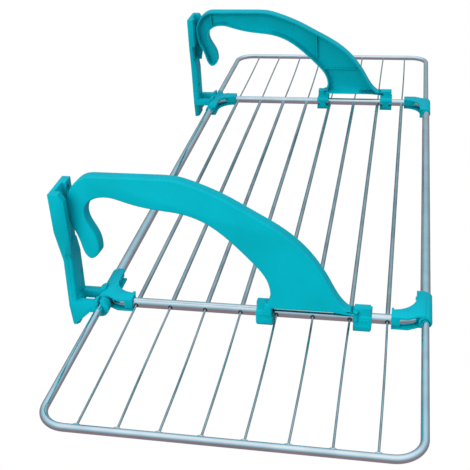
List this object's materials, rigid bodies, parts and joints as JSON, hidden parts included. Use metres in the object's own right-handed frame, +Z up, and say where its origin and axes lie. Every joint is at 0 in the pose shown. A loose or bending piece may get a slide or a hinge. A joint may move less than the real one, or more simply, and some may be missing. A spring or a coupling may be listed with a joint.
{
  "type": "wall mounted fold-down drying rack",
  "caption": "Fold-down drying rack with rails, extending end frames, hook arms and wall plates.",
  "frame": {"origin": "centre of the four screw holes, in the plane of the wall", "axes": "+X out of the wall, +Y along the rack from the near end to the far end, +Z up"},
  "size_m": [0.3921, 1.044, 0.18],
  "materials": {
    "tube_steel": "bright zinc plated steel tube",
    "wire_steel": "bright zinc plated steel",
    "teal_plastic": "moulded, satin teal",
    "plug_plastic": "moulded, matt black"
  },
  "bodies": {
    "wall_plates": {"wall_plate_near": "teal_plastic", "wall_plate_far": "teal_plastic"},
    "main_frame": {"long_u_tube": "tube_steel", "short_u_tube": "tube_steel", "middle_rail_1": "wire_steel", "middle_rail_2": "wire_steel", "middle_rail_3": "wire_steel", "middle_rail_4": "wire_steel", "middle_rail_5": "wire_steel", "middle_rail_6": "wire_steel", "middle_rail_7": "wire_steel", "middle_rail_8": "wire_steel", "near_corner_wall": "teal_plastic", "near_corner_free": "teal_plastic", "far_corner_wall": "teal_plastic", "far_corner_free": "teal_plastic"},
    "near_end_frame": {"near_end_tube": "tube_steel", "near_wire_1": "wire_steel", "near_wire_2": "wire_steel", "near_wire_3": "wire_steel", "near_wire_4": "wire_steel", "near_wire_5": "wire_steel", "near_wire_6": "wire_steel", "near_wire_7": "wire_steel", "near_wire_8": "wire_steel", "near_stop_plug_wall": "plug_plastic", "near_stop_plug_free": "plug_plastic"},
    "near_hook_arm": {"near_arm": "teal_plastic", "near_clip_cap_wall": "teal_plastic", "near_clip_cap_free": "teal_plastic"},
    "far_end_frame": {"far_end_tube": "tube_steel", "far_wire_1": "wire_steel", "far_wire_2": "wire_steel", "far_wire_3": "wire_steel", "far_wire_4": "wire_steel", "far_wire_5": "wire_steel", "far_wire_6": "wire_steel", "far_wire_7": "wire_steel", "far_wire_8": "wire_steel", "far_stop_plug_wall": "plug_plastic", "far_stop_plug_free": "plug_plastic"},
    "far_hook_arm": {"far_arm": "teal_plastic", "far_clip_cap_wall": "teal_plastic", "far_clip_cap_free": "teal_plastic"}
  },
  "joints": [
    {"name": "frame_fold", "type": "hinge", "parent": "wall_plates", "child": "main_frame", "pos_m": [0.035, 0, -0.081], "axis": [0, 1, 0], "range_deg": [0, 90]},
    {"name": "near_extension", "type": "slide", "parent": "main_frame", "child": "near_end_frame", "axis": [0, 1, 0], "range_m": [-0.022, 0.155]},
    {"name": "far_extension", "type": "slide", "parent": "main_frame", "child": "far_end_frame", "axis": [0, -1, 0], "range_m": [0, 0.177]},
    {"name": "near_arm_fold", "type": "hinge", "parent": "main_frame", "child": "near_hook_arm", "pos_m": [0.21, -0.305, -0.081], "axis": [-1, 0, 0], "range_deg": [0, 81]},
    {"name": "far_arm_fold", "type": "hinge", "parent": "main_frame", "child": "far_hook_arm", "pos_m": [0.21, 0.305, -0.081], "axis": [1, 0, 0], "range_deg": [0, 81]}
  ]
}
